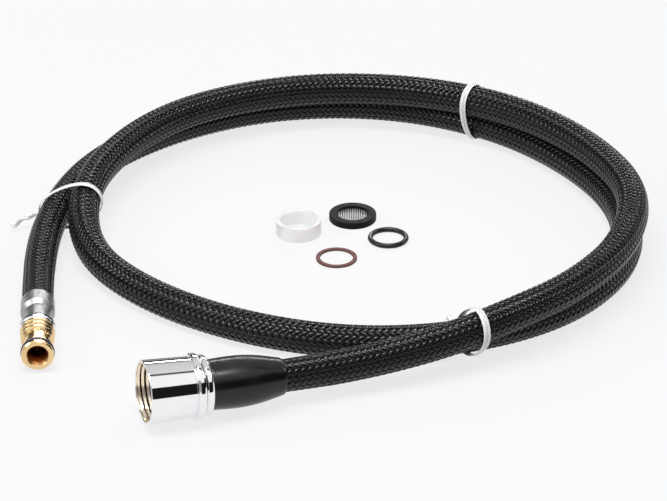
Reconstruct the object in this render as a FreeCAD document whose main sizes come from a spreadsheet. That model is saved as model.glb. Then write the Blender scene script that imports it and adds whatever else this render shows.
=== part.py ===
import FreeCAD, Part
import Sketcher
import math
import os
import re

# Braided spray hose with a swivel nut, a push-in spigot, three twist ties and four loose seals.
# Millimetres, +Z up, the floor at Z = 0, the hose coiled in two turns on it.

doc = FreeCAD.newDocument("spray_hose")
size = doc.addObject("Spreadsheet::Sheet", "size")

driving = {
    # hose
    "hoseRadius": 6.5, "linerRadius": 5.0, "linerBore": 3.8, "tailRadius": 6.0,
    # swivel nut, measured from its mouth
    "nutLength": 20.9, "nutMouthRadius": 12.0, "nutBackRadius": 11.4, "rimRadius": 12.4, "rimWidth": 3.0,
    "threadRadius": 10.48, "threadEnd": 10.4, "reliefRadius": 10.8, "chamberEnd": 17.6, "nutHole": 7.4,
    "mouthChamfer": 0.8,
    # seal, stem, slip washer and collar inside and behind the nut
    "sealStart": 10.6, "sealOuter": 9.8, "sealInner": 5.0, "flangeStart": 12.6, "flangeEnd": 15.2,
    "flangeRadius": 9.9, "shankRadius": 7.1, "stemBore": 2.8, "seatBore": 4.2, "shankEnd": 25.8,
    "slipStart": 16.5, "slipEnd": 17.5, "slipOuter": 10.4, "slipInner": 7.2, "nutFloat": 1.2,
    "collarStart": 21.2, "collarEnd": 24.1, "collarRadius": 11.4, "edgeBreak": 0.6,
    # crimp ferrule under the sleeve, and the sleeve
    "crimpEnd": 40.5, "crimpRadius": 6.6, "sleeveEnd": 53.2, "sleeveRoot": 9.4, "sleeveTip": 7.1,
    "sleeveBulge": 90.0, "sleeveBore": 6.75,
    # spigot, measured from the end of the free hose
    "gripEnd": 7.5, "gripRadius": 6.6, "coneEnd": 9.2, "waistRadius": 5.1, "spigotShank": 4.3,
    "waistEnd": 19.9, "ringEnd": 20.6, "ringRadius": 6.95, "spigotCollarEnd": 22.6, "ribsEnd": 30.0,
    "ribRadius": 6.65, "ribPitch": 2.1, "ribDepth": 0.7, "neckRadius": 5.2, "neckEnd": 36.5,
    "shoulderEnd": 37.9, "shoulderRadius": 6.1, "glandEnd": 39.9, "glandRadius": 5.0, "noseEnd": 41.5,
    "noseRadius": 6.2, "noseChamfer": 0.6, "spigotBore": 4.0, "boreDepth": 20.0, "barbLength": 8.0,
    "spigotRingSection": 0.75,
    # twist ties
    "tieGap": 0.42, "tieThickness": 0.4, "tieWidth": 2.8, "wireThickness": 0.25, "wireWidth": 0.6,
    "tailLength": 12.0, "tailThickness": 1.4,
    # loose seals
    "spacerRadius": 9.2, "spacerBore": 7.2, "spacerHeight": 6.0,
    "washerRadius": 9.6, "washerBore": 6.3, "washerHeight": 2.8, "screenRadius": 7.2, "screenStart": 1.0,
    "screenThickness": 0.5, "looseRingRadius": 7.2, "looseRingSection": 1.05,
    "fibreRadius": 8.2, "fibreBore": 6.6, "fibreHeight": 0.9,
    # where the nut's mouth is, the way its axis points and how much it falls per millimetre
    "mouthX": -67.6, "mouthY": -128.0, "mouthHeight": 13.5, "nutTurn": 18.5, "nutFall": 0.05,
    # the route's last corner and the end of the free hose, along the nut's axis from the mouth
    "lastCorner": 70.0, "hoseEnd": 40.5,
}
for row, (name, value) in enumerate(driving.items(), 1):
    size.set(f"A{row}", name)
    size.set(f"B{row}", str(value))
    size.setAlias(f"B{row}", name)
doc.recompute()

# The hose's route from the spigot, once round on the floor and once more on top, to the nut.
routeCorners = [
    (-112.1, -48.4, 7.2), (-114.8, -10.4, 7.0), (-110.8, 33.6, 7.5), (-96.3, 76.6, 7.1), (-64.3, 111.6, 6.7),
    (-22.3, 132.6, 6.7), (25.7, 133.1, 6.9), (69.2, 111.6, 7.5), (100.7, 77.1, 7.0), (119.7, 35.1, 6.7),
    (118.2, -10.9, 6.7), (95.7, -49.4, 7.0), (59.2, -74.4, 7.6), (14.2, -80.4, 6.8), (-30.3, -68.4, 6.6),
    (-70.8, -40.9, 6.6), (-96.8, -3.9, 6.9),
    (-99.8, 35.6, 15.6), (-81.8, 79.6, 17.8), (-52.8, 110.1, 17.9), (-8.8, 126.6, 18.1), (37.7, 121.1, 19.4),
    (77.2, 99.6, 20.8), (107.2, 64.6, 20.8), (123.5, 21.6, 20.5), (115.5, -22.7, 20.3), (94.2, -56.9, 20.1),
    (69.2, -77.7, 19.2), (40.2, -91.2, 12.9),
]
arcShare = 0.45

mouth = FreeCAD.Vector(size.mouthX, size.mouthY, size.mouthHeight)
nutTurn = math.radians(size.nutTurn)
nutAxis = FreeCAD.Vector(math.cos(nutTurn), math.sin(nutTurn), -size.nutFall).normalize()
corners = [FreeCAD.Vector(*corner) for corner in routeCorners]
corners += [mouth + nutAxis * size.lastCorner, mouth + nutAxis * size.hoseEnd]
spigotAxis = (corners[0] - corners[1]).normalize()

upright = FreeCAD.Vector(0, 0, 1)
nutPlace = FreeCAD.Placement(mouth, FreeCAD.Rotation(upright, nutAxis))
spigotPlace = FreeCAD.Placement(corners[0], FreeCAD.Rotation(upright, spigotAxis))
hoseEndPlace = FreeCAD.Placement(corners[-1], FreeCAD.Rotation(upright, nutAxis * -1))


def cellText(text):
    """Puts the sheet's name before each alias of an expression."""
    return re.sub(r"[A-Za-z]\w*", r"size.\g<0>", text)


def turned(label, outline, place, bulge=None):
    """A Body turned about its own Z from an outline of (radius, height) cells. bulge rounds one side."""
    body = doc.addObject("PartDesign::Body", label)
    sketch = body.newObject("Sketcher::SketchObject", label + "_outline")
    plane = [f for f in body.Origin.OriginFeatures if f.Role == "XZ_Plane"][0]
    sketch.AttachmentSupport = (plane, "")
    sketch.MapMode = "FlatFace"
    texts = [(cellText(radius), cellText(height)) for radius, height in outline]
    points = [FreeCAD.Vector(sketch.evalExpression(a), sketch.evalExpression(b), 0) for a, b in texts]
    count = len(points)
    for i in range(count):
        start, end = points[i], points[(i + 1) % count]
        if bulge and bulge[0] == i:
            radius = sketch.evalExpression(cellText(bulge[1]))
            chord = end - start
            sag = radius - math.sqrt(radius ** 2 - chord.Length ** 2 / 4)
            middle = (start + end) * 0.5 + FreeCAD.Vector(chord.y, -chord.x, 0).normalize() * sag
            sketch.addGeometry(Part.Arc(start, middle, end), False)
        else:
            sketch.addGeometry(Part.LineSegment(start, end), False)
    ends = {}
    for i, geometry in enumerate(sketch.Geometry):
        flipped = (geometry.StartPoint - points[i]).Length > 1e-6
        ends[i] = (2, 1) if flipped else (1, 2)
    for i in range(count):
        after = (i + 1) % count
        sketch.addConstraint(Sketcher.Constraint("Coincident", i, ends[i][1], after, ends[after][0]))
    if bulge:
        radius = sketch.evalExpression(cellText(bulge[1]))
        index = sketch.addConstraint(Sketcher.Constraint("Radius", bulge[0], radius))
        sketch.setExpression(f"Constraints[{index}]", cellText(bulge[1]))
    for i, (radiusText, heightText) in enumerate(texts):
        pin = ends[i][0]
        index = sketch.addConstraint(Sketcher.Constraint("DistanceX", -1, 1, i, pin, points[i].x))
        sketch.setExpression(f"Constraints[{index}]", radiusText)
        index = sketch.addConstraint(Sketcher.Constraint("DistanceY", -1, 1, i, pin, points[i].y))
        sketch.setExpression(f"Constraints[{index}]", heightText)
    revolution = body.newObject("PartDesign::Revolution", label + "_turned")
    revolution.Profile = sketch
    revolution.ReferenceAxis = (sketch, ["V_Axis"])
    revolution.Angle = 360.0
    body.Placement = place
    return body


def torus(label, ringText, sectionText, place):
    ring = doc.addObject("Part::Torus", label)
    ring.setExpression("Radius1", cellText(ringText))
    ring.setExpression("Radius2", cellText(sectionText))
    ring.Placement = place
    return ring


def along(place, distance):
    """The same placement, moved along its own Z."""
    return place.multiply(FreeCAD.Placement(upright * distance, FreeCAD.Rotation()))


def cylinder(label, radiusText, heightText, place):
    solid = doc.addObject("Part::Cylinder", label)
    solid.setExpression("Radius", cellText(radiusText))
    solid.setExpression("Height", cellText(heightText))
    solid.Placement = place
    return solid


def cut(label, base, tool):
    result = doc.addObject("Part::Cut", label)
    result.Base = base
    result.Tool = tool
    return result


def fuse(label, shapes):
    result = doc.addObject("Part::MultiFuse", label)
    result.Shapes = shapes
    return result


# ---- route: straight runs joined by tangent arcs
def routeEdges(points):
    edges = []
    radii = []
    last = points[0]
    for before, corner, after in zip(points, points[1:], points[2:]):
        back = before - corner
        ahead = after - corner
        half = (math.pi - back.getAngle(ahead)) / 2
        reach = arcShare * min(back.Length, ahead.Length)
        back.normalize()
        ahead.normalize()
        radius = reach / math.tan(half)
        start = corner + back * reach
        end = corner + ahead * reach
        inward = (back + ahead).normalize()
        middle = corner + inward * (radius / math.cos(half) - radius)
        edges.append(Part.LineSegment(last, start).toShape())
        edges.append(Part.Arc(start, middle, end).toShape())
        radii.append(radius)
        last = end
    edges.append(Part.LineSegment(last, points[-1]).toShape())
    return edges, radii


def routeLine(label, spigotReach, nutReach):
    """The route as a wire, carried straight on at each end into the fittings."""
    edges, radii = routeEdges(corners)
    if spigotReach:
        first = edges[0].lastVertex().Point
        edges[0] = Part.LineSegment(corners[0] + spigotAxis * spigotReach, first).toShape()
    if nutReach:
        last = edges[-1].firstVertex().Point
        edges[-1] = Part.LineSegment(last, corners[-1] - nutAxis * nutReach).toShape()
    line = doc.addObject("Part::Feature", label)
    line.Shape = Part.Wire(edges)
    return line, radii


def sweep(label, line, radiusText):
    """A solid rod along the line."""
    section = doc.addObject("Part::Circle", label + "_section")
    section.setExpression("Radius", cellText(radiusText))
    start = line.Shape.OrderedVertexes[0].Point
    section.Placement = FreeCAD.Placement(start, FreeCAD.Rotation(upright, spigotAxis * -1))
    rod = doc.addObject("Part::Sweep", label)
    rod.Sections = [section]
    rod.Spine = (line, [f"Edge{i + 1}" for i in range(len(line.Shape.Edges))])
    rod.Solid = True
    rod.Frenet = False
    return rod


freeLine, radii = routeLine("hose_line", 0, 0)
longLine, _ = routeLine("liner_line", size.barbLength, size.crimpEnd - size.shankEnd - 0.5)

# ---- hose: a rubber liner inside a braided sleeve, whose ends are crimped down inside the ferrules
nutTail = size.crimpEnd - size.shankEnd - 0.5
linerOuter = sweep("liner_outer", longLine, "linerRadius")
linerInner = sweep("liner_inner", longLine, "linerBore")
liner = cut("hose_liner", linerOuter, linerInner)

braidOuter = sweep("braid_outer", freeLine, "hoseRadius")
spigotTail = cylinder("spigot_tail", "tailRadius", "barbLength", spigotPlace)
sleeveTail = cylinder("sleeve_tail", "tailRadius", "crimpEnd - shankEnd - 0.5", hoseEndPlace)
braidBlank = fuse("braid_blank", [braidOuter, spigotTail, sleeveTail])
linerSpace = sweep("liner_space", longLine, "linerRadius")
braid = cut("hose_braid", braidBlank, linerSpace)

# ---- swivel nut end
nut = turned("coupling_nut", [
    ("threadRadius", "mouthChamfer"), ("threadRadius + mouthChamfer", "0"),
    ("nutMouthRadius - mouthChamfer / 2", "0"), ("nutMouthRadius", "mouthChamfer / 2"),
    ("nutBackRadius", "nutLength - rimWidth"), ("rimRadius - edgeBreak", "nutLength - rimWidth"),
    ("rimRadius", "nutLength - rimWidth + edgeBreak"), ("rimRadius", "nutLength - edgeBreak"),
    ("rimRadius - edgeBreak", "nutLength"), ("nutHole", "nutLength"), ("nutHole", "chamberEnd"),
    ("reliefRadius", "chamberEnd"), ("reliefRadius", "threadEnd"), ("threadRadius", "threadEnd"),
], nutPlace)
slipWasher = turned("slip_washer", [
    ("slipInner", "slipStart"), ("slipOuter", "slipStart"), ("slipOuter", "slipEnd"), ("slipInner", "slipEnd"),
], nutPlace)
nutSeal = turned("nut_seal", [
    ("sealInner", "sealStart"), ("sealOuter", "sealStart"), ("sealOuter", "flangeStart"),
    ("sealInner", "flangeStart"),
], nutPlace)
stem = turned("coupling_stem", [
    ("seatBore", "flangeStart"), ("flangeRadius", "flangeStart"), ("flangeRadius", "flangeEnd"),
    ("shankRadius", "flangeEnd"), ("shankRadius", "shankEnd"), ("linerBore", "shankEnd"),
    ("linerBore", "crimpEnd - 1"), ("linerBore - 0.5", "crimpEnd"), ("stemBore", "crimpEnd"),
    ("stemBore", "shankEnd"), ("seatBore", "shankEnd - 2"),
], nutPlace)
collar = turned("swivel_collar", [
    ("shankRadius", "collarStart"), ("collarRadius - edgeBreak", "collarStart"),
    ("collarRadius", "collarStart + edgeBreak"), ("collarRadius", "collarEnd - edgeBreak"),
    ("collarRadius - edgeBreak", "collarEnd"), ("shankRadius", "collarEnd"),
], nutPlace)
crimp = turned("crimp_ferrule", [
    ("tailRadius", "shankEnd"), ("crimpRadius", "shankEnd"), ("crimpRadius", "crimpEnd"),
    ("tailRadius", "crimpEnd"),
], nutPlace)
sleeve = turned("bend_sleeve", [
    ("shankRadius", "collarEnd"), ("sleeveRoot", "collarEnd"), ("sleeveTip", "sleeveEnd"),
    ("sleeveBore", "sleeveEnd"), ("sleeveBore", "shankEnd"), ("shankRadius", "shankEnd"),
], nutPlace, bulge=(1, "sleeveBulge"))

# ---- spigot end
gripFerrule = turned("spigot_ferrule", [
    ("tailRadius", "0"), ("gripRadius", "0"), ("gripRadius", "gripEnd"), ("waistRadius", "coneEnd"),
    ("waistRadius", "waistEnd"), ("spigotShank", "waistEnd"), ("spigotShank", "barbLength + 0.1"),
    ("tailRadius", "barbLength"),
], spigotPlace)
ribs = []
for groove in range(3):
    base = f"spigotCollarEnd + ribPitch * {groove + 1}"
    ribs += [
        ("ribRadius", f"{base} - ribDepth"), ("ribRadius - ribDepth", base),
        ("ribRadius", f"{base} + ribDepth"),
    ]
spigotOutline = [
    ("stemBore", "-barbLength"), ("linerBore - 0.5", "-barbLength"), ("linerBore", "1 - barbLength"),
    ("linerBore", "barbLength + 0.1"), ("spigotShank", "barbLength + 0.1"),
    ("spigotShank", "spigotCollarEnd"), ("ribRadius", "spigotCollarEnd"),
] + ribs + [
    ("ribRadius", "ribsEnd - 0.3"), ("ribRadius - 0.3", "ribsEnd"),
    ("neckRadius", "ribsEnd"), ("neckRadius", "neckEnd"), ("shoulderRadius", "neckEnd"),
    ("shoulderRadius", "shoulderEnd"), ("glandRadius", "shoulderEnd"), ("glandRadius", "glandEnd"),
    ("noseRadius", "glandEnd"), ("noseRadius", "noseEnd - noseChamfer"),
    ("noseRadius - noseChamfer", "noseEnd"), ("spigotBore", "noseEnd"),
    ("spigotBore", "noseEnd - boreDepth"), ("stemBore", "noseEnd - boreDepth - 1.2"),
]
# The sketch's zero is put at the barb's tip, so every height is positive.
fromBarbTip = [(radius, f"barbLength + {height}") for radius, height in spigotOutline]
spigot = turned("spigot_body", fromBarbTip, along(spigotPlace, -size.barbLength))
backRing = turned("spigot_back_ring", [
    ("spigotShank", "waistEnd"), ("ringRadius", "waistEnd"), ("ringRadius", "ringEnd"),
    ("spigotShank", "ringEnd"),
], spigotPlace)
spigotCollar = turned("spigot_collar", [
    ("spigotShank", "ringEnd"), ("ringRadius", "ringEnd"), ("ringRadius", "spigotCollarEnd - 0.4"),
    ("ringRadius - 0.4", "spigotCollarEnd"), ("spigotShank", "spigotCollarEnd"),
], spigotPlace)
spigotRing = torus("spigot_o_ring", "glandRadius + spigotRingSection", "spigotRingSection",
                   along(spigotPlace, (size.shoulderEnd + size.glandEnd) / 2))

# ---- twist ties: each a flat plastic strip with a wire in it, round two strands
tieFaceSize = 60.0


def strandsAt(point, normal):
    """Where the route crosses a tie's upright plane, lower strand first."""
    across = upright.cross(normal)
    corner = FreeCAD.Vector(point[0], point[1], 0) - across * tieFaceSize / 2
    square = Part.makePlane(tieFaceSize, tieFaceSize, corner, normal, across)
    hits = [vertex.Point for vertex in freeLine.Shape.section(square).Vertexes]
    return sorted(hits, key=lambda hit: hit.z)


def racetrack(label, radiusText, widthText, spacing, place):
    """A bar whose section is the hull of two circles, spacing apart along its own X."""
    width = size.evalExpression(widthText)
    radius = size.evalExpression(radiusText)
    low = cylinder(label + "_low", radiusText, widthText, along(place, -width / 2))
    shift = FreeCAD.Placement(FreeCAD.Vector(spacing, 0, -width / 2), FreeCAD.Rotation())
    high = cylinder(label + "_high", radiusText, widthText, place.multiply(shift))
    box = doc.addObject("Part::Box", label + "_web")
    box.Length = spacing
    box.setExpression("Width", cellText(f"2 * ({radiusText})"))
    box.setExpression("Height", cellText(widthText))
    shift = FreeCAD.Placement(FreeCAD.Vector(0, -radius, -width / 2), FreeCAD.Rotation())
    box.Placement = place.multiply(shift)
    return fuse(label, [low, high, box])


def loop(label, innerText, outerText, widthText, spacing, place):
    outer = racetrack(label + "_outside", outerText, widthText, spacing, place)
    inner = racetrack(label + "_inside", innerText, widthText, spacing, place)
    return cut(label, outer, inner)


def twistTie(name, point, headingDegrees, tailSide):
    """tailSide is +1 or -1: the side of the heading on which the twisted tail lies."""
    heading = math.radians(headingDegrees)
    normal = FreeCAD.Vector(math.cos(heading), math.sin(heading), 0)
    low, high = strandsAt(point, normal)
    gap = high - low
    spacing = gap.Length
    gap.normalize()
    place = FreeCAD.Placement(low, FreeCAD.Rotation(gap, normal.cross(gap), normal, "XZY"))
    inside = "hoseRadius + tieGap"
    wireInside = f"{inside} + (tieThickness - wireThickness) / 2"
    wire = loop(name + "_wire", wireInside, f"{wireInside} + wireThickness", "wireWidth", spacing, place)
    strip = loop(name + "_strip", inside, f"{inside} + tieThickness", "tieWidth", spacing, place)
    tail = doc.addObject("Part::Box", name + "_tail")
    tail.setExpression("Length", "size.tailLength")
    tail.setExpression("Width", "size.tieWidth")
    tail.setExpression("Height", "size.tailThickness")
    outward = upright.cross(normal) * tailSide
    root = low + outward * (size.hoseRadius + size.tieGap + size.tieThickness / 2)
    root -= normal * (tailSide * size.tieWidth / 2) + upright * (size.tailThickness / 2)
    tail.Placement = FreeCAD.Placement(root, FreeCAD.Rotation(outward, normal * tailSide, upright, "XZY"))
    whole = fuse(name + "_whole", [strip, tail])
    bound = racetrack(name + "_bundle", inside, "tieWidth", spacing, place)
    clear = cut(name + "_open", whole, bound)
    core = cut(name + "_band", clear, wire)
    return core, wire


tieLeft, tieLeftWire = twistTie("tie_left", (-105.5, 28.5), 82, 1)
tieBack, tieBackWire = twistTie("tie_back", (62.0, 112.8), -32, 1)
tieFront, tieFrontWire = twistTie("tie_front", (54.5, -79.6), 204, -1)

# ---- loose seals inside the coil
spacerPlace = FreeCAD.Placement(FreeCAD.Vector(-12.4, 25.2, 0), FreeCAD.Rotation())
washerPlace = FreeCAD.Placement(FreeCAD.Vector(9.5, 37.3, 0), FreeCAD.Rotation())
looseRingPlace = FreeCAD.Placement(FreeCAD.Vector(23.7, 18.7, size.looseRingSection), FreeCAD.Rotation())
fibrePlace = FreeCAD.Placement(FreeCAD.Vector(2.9, 2.5, 0), FreeCAD.Rotation())
spacer = turned("spacer_ring", [
    ("spacerBore", "0"), ("spacerRadius", "0"), ("spacerRadius", "spacerHeight"),
    ("spacerBore", "spacerHeight"),
], spacerPlace)
washer = turned("filter_washer", [
    ("washerBore", "0"), ("washerRadius", "0"), ("washerRadius", "washerHeight"),
    ("washerBore", "washerHeight"), ("washerBore", "screenStart + screenThickness"),
    ("screenRadius", "screenStart + screenThickness"), ("screenRadius", "screenStart"),
    ("washerBore", "screenStart"),
], washerPlace)
screen = cylinder("filter_screen", "screenRadius", "screenThickness", along(washerPlace, size.screenStart))
looseRing = torus("spare_o_ring", "looseRingRadius", "looseRingSection", looseRingPlace)
fibre = turned("fibre_washer", [
    ("fibreBore", "0"), ("fibreRadius", "0"), ("fibreRadius", "fibreHeight"), ("fibreBore", "fibreHeight"),
], fibrePlace)

doc.recompute()

nodes = [
    liner, braid, nut, slipWasher, nutSeal, stem, collar, crimp, sleeve, gripFerrule, spigot,
    backRing, spigotCollar, spigotRing, tieLeft, tieLeftWire, tieBack, tieBackWire, tieFront, tieFrontWire,
    spacer, washer, screen, looseRing, fibre,
]
for thing in doc.Objects:
    if "Invalid" in thing.State or "Error" in thing.State:
        raise RuntimeError(f"{thing.Name} failed: {thing.State}")
for node in nodes:
    if node.Shape.isNull() or not node.Shape.isValid():
        raise RuntimeError(f"{node.Label} has no valid shape")

hoseLength = freeLine.Shape.Length
hoseSection = math.pi * (size.hoseRadius ** 2 - size.linerRadius ** 2)
tailSection = math.pi * (size.tailRadius ** 2 - size.linerRadius ** 2)
wanted = hoseSection * hoseLength + tailSection * (size.barbLength + nutTail)
print("route radii", [round(radius) for radius in radii])
print("free hose length", round(hoseLength, 1), "braid volume", round(braid.Shape.Volume), "wanted", round(wanted))

os.makedirs("parts", exist_ok=True)
for node in nodes:
    node.Shape.exportStep(f"parts/{node.Label}.step")
    print(node.Label, round(node.Shape.Volume, 1))
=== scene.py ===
import bpy
import numpy as np
from math import cos, pi, radians, sin
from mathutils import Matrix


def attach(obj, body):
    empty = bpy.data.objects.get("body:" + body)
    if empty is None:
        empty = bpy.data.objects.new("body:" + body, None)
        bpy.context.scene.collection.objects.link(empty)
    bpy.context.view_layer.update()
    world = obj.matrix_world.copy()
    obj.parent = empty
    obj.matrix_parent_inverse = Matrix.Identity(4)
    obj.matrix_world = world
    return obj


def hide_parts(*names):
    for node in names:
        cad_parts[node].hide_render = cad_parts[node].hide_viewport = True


# A coiled faucet hose in a black nylon braid, with its swivel nut, spigot, twist ties and loose seals.

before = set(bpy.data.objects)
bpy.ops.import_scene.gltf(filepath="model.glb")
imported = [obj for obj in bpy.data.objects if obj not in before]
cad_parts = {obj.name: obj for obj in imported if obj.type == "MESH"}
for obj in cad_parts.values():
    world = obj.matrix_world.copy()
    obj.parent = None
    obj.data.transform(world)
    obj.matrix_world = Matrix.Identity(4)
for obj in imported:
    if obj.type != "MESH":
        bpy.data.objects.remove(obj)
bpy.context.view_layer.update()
scene = bpy.context.scene
mm = 0.001
print("frame loaded")

# ---- camera
cameraSet = {"look": (0.0017, 0.0096, 0.0), "distance": 1.44, "elevation": 27.6, "lens": 194.3}
cameraData = bpy.data.cameras.new("productCamera")
cameraData.lens = cameraSet["lens"]
cameraData.sensor_width = 36.0
camera = bpy.data.objects.new("productCamera", cameraData)
scene.collection.objects.link(camera)
rise = radians(cameraSet["elevation"])
camera.location = np.array(cameraSet["look"]) + cameraSet["distance"] * np.array([0, -cos(rise), sin(rise)])
camera.rotation_euler = (pi / 2 - rise, 0, 0)
scene.camera = camera
scene.view_settings.view_transform = "Standard"


def unit(v):
    v = np.asarray(v, float)
    return v / np.linalg.norm(v, axis=-1, keepdims=True)


# ---- materials: shared effects are groups, the shaders stay in each material
def addNode(tree, kind, settings=None, links=None):
    # settings are values on the node's own sockets or properties, links are sockets to join to it
    node = tree.nodes.new(kind)
    for key, value in (settings or {}).items():
        if isinstance(key, str) and hasattr(node, key):
            setattr(node, key, value)
        else:
            node.inputs[key].default_value = value
    for key, source in (links or {}).items():
        tree.links.new(source, node.inputs[key])
    return node


def newGroup(name, inputs, outputs):
    group = bpy.data.node_groups.new(name, "ShaderNodeTree")
    for label, value in inputs.items():
        socket = group.interface.new_socket(label, in_out="INPUT", socket_type="NodeSocketFloat")
        socket.default_value = value
    for label in outputs:
        group.interface.new_socket(label, in_out="OUTPUT", socket_type="NodeSocketFloat")
    return group, group.nodes.new("NodeGroupInput"), group.nodes.new("NodeGroupOutput")


def grainGroup():
    # Grain is fine noise for a bump, Tone is slow noise for colour, Smudge is slow noise with a firm edge.
    group, given, out = newGroup("grain", {"Grain Scale": 2000.0, "Tone Scale": 60.0}, ["Grain", "Tone", "Smudge"])
    place = group.nodes.new("ShaderNodeTexCoord").outputs["Object"]
    grain = addNode(group, "ShaderNodeTexNoise", {"Detail": 3.0},
                    {"Vector": place, "Scale": given.outputs["Grain Scale"]})
    tone = addNode(group, "ShaderNodeTexNoise", {"Detail": 2.0},
                   {"Vector": place, "Scale": given.outputs["Tone Scale"]})
    edge = addNode(group, "ShaderNodeMapRange", {"From Min": 0.45, "From Max": 0.65}, {"Value": tone.outputs["Fac"]})
    group.links.new(grain.outputs["Fac"], out.inputs["Grain"])
    group.links.new(tone.outputs["Fac"], out.inputs["Tone"])
    group.links.new(edge.outputs["Result"], out.inputs["Smudge"])
    return group


def linesGroup():
    # A sine across the piece's own UV map: Along counts lines by the second coordinate, Across by the first.
    group, given, out = newGroup("lines", {"Along": 0.0, "Across": 8.0, "Wander": 0.4}, ["Height"])
    coord = group.nodes.new("ShaderNodeTexCoord")
    split = addNode(group, "ShaderNodeSeparateXYZ", None, {"Vector": coord.outputs["UV"]})
    wobble = addNode(group, "ShaderNodeTexNoise", {"Scale": 900.0}, {"Vector": coord.outputs["Object"]})
    along = addNode(group, "ShaderNodeMath", {"operation": "MULTIPLY"},
                    {0: split.outputs["Y"], 1: given.outputs["Along"]})
    across = addNode(group, "ShaderNodeMath", {"operation": "MULTIPLY_ADD"},
                     {0: split.outputs["X"], 1: given.outputs["Across"], 2: along.outputs[0]})
    stray = addNode(group, "ShaderNodeMath", {"operation": "MULTIPLY_ADD"},
                    {0: wobble.outputs["Fac"], 1: given.outputs["Wander"], 2: across.outputs[0]})
    turn = addNode(group, "ShaderNodeMath", {"operation": "MULTIPLY", 1: 2 * pi}, {0: stray.outputs[0]})
    wave = addNode(group, "ShaderNodeMath", {"operation": "SINE"}, {0: turn.outputs[0]})
    group.links.new(wave.outputs[0], out.inputs["Height"])
    return group


grain = grainGroup()
lines = linesGroup()


def makeMaterial(name, look):
    # dark and light are the two ends of the colour, rough its two ends of roughness.
    # grainBump and lineBump are depths in metres.
    material = bpy.data.materials.new(name)
    material.use_nodes = True
    tree = material.node_tree
    shader = tree.nodes["Principled BSDF"]
    effect = addNode(tree, "ShaderNodeGroup", {"node_tree": grain})
    effect.inputs["Grain Scale"].default_value = look.get("grainScale", 2500.0)
    effect.inputs["Tone Scale"].default_value = look.get("toneScale", 80.0)
    colour = addNode(tree, "ShaderNodeMix", {"data_type": "RGBA"}, {0: effect.outputs["Tone"]})
    colour.inputs[6].default_value = (*look["dark"], 1)
    colour.inputs[7].default_value = (*look["light"], 1)
    last = colour.outputs[2]
    low, high = look["rough"]
    rough = addNode(tree, "ShaderNodeMapRange", {"To Min": low, "To Max": high},
                    {"Value": effect.outputs["Smudge"]})
    tree.links.new(rough.outputs["Result"], shader.inputs["Roughness"])
    bump = addNode(tree, "ShaderNodeBump", {"Distance": look.get("grainBump", 0.00002), "Strength": 0.6},
                   {"Height": effect.outputs["Grain"]})
    if "lineBump" in look:
        along, across, wander = look["lines"]
        ridge = addNode(tree, "ShaderNodeGroup", {"node_tree": lines})
        ridge.inputs["Along"].default_value = along
        ridge.inputs["Across"].default_value = across
        ridge.inputs["Wander"].default_value = wander
        bump = addNode(tree, "ShaderNodeBump", {"Distance": look["lineBump"], "Strength": 0.8},
                       {"Height": ridge.outputs["Height"], "Normal": bump.outputs["Normal"]})
        # lineShade darkens the base colour in the grooves between the lines: painted shade
        if "lineShade" in look:
            shade = addNode(tree, "ShaderNodeMapRange", {"From Min": -1.0, "To Min": 1 - look["lineShade"]},
                            {"Value": ridge.outputs["Height"]})
            darker = addNode(tree, "ShaderNodeMix", {"data_type": "RGBA", "blend_type": "MULTIPLY", 0: 1.0},
                             {6: last, 7: shade.outputs["Result"]})
            last = darker.outputs[2]
    if "middle" in look:
        # a darker band down the middle of the strip, by the first UV coordinate: painted shade along the strip's
        # middle
        coord = tree.nodes.new("ShaderNodeTexCoord")
        split = addNode(tree, "ShaderNodeSeparateXYZ", None, {"Vector": coord.outputs["UV"]})
        off = addNode(tree, "ShaderNodeMath", {"operation": "SUBTRACT", 1: look["middle"]["at"]},
                      {0: split.outputs["X"]})
        away = addNode(tree, "ShaderNodeMath", {"operation": "ABSOLUTE"}, {0: off.outputs[0]})
        near = addNode(tree, "ShaderNodeMapRange", {"From Min": look["middle"]["half"] * 0.6,
                       "From Max": look["middle"]["half"], "To Min": 1.0, "To Max": 0.0}, {"Value": away.outputs[0]})
        stripe = addNode(tree, "ShaderNodeMix", {"data_type": "RGBA"}, {0: near.outputs["Result"], 6: last})
        stripe.inputs[7].default_value = (*look["middle"]["colour"], 1)
        last = stripe.outputs[2]
    tree.links.new(last, shader.inputs["Base Color"])
    tree.links.new(bump.outputs["Normal"], shader.inputs["Normal"])
    for socket, value in look.get("shader", {}).items():
        shader.inputs[socket].default_value = value
    return material


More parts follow.
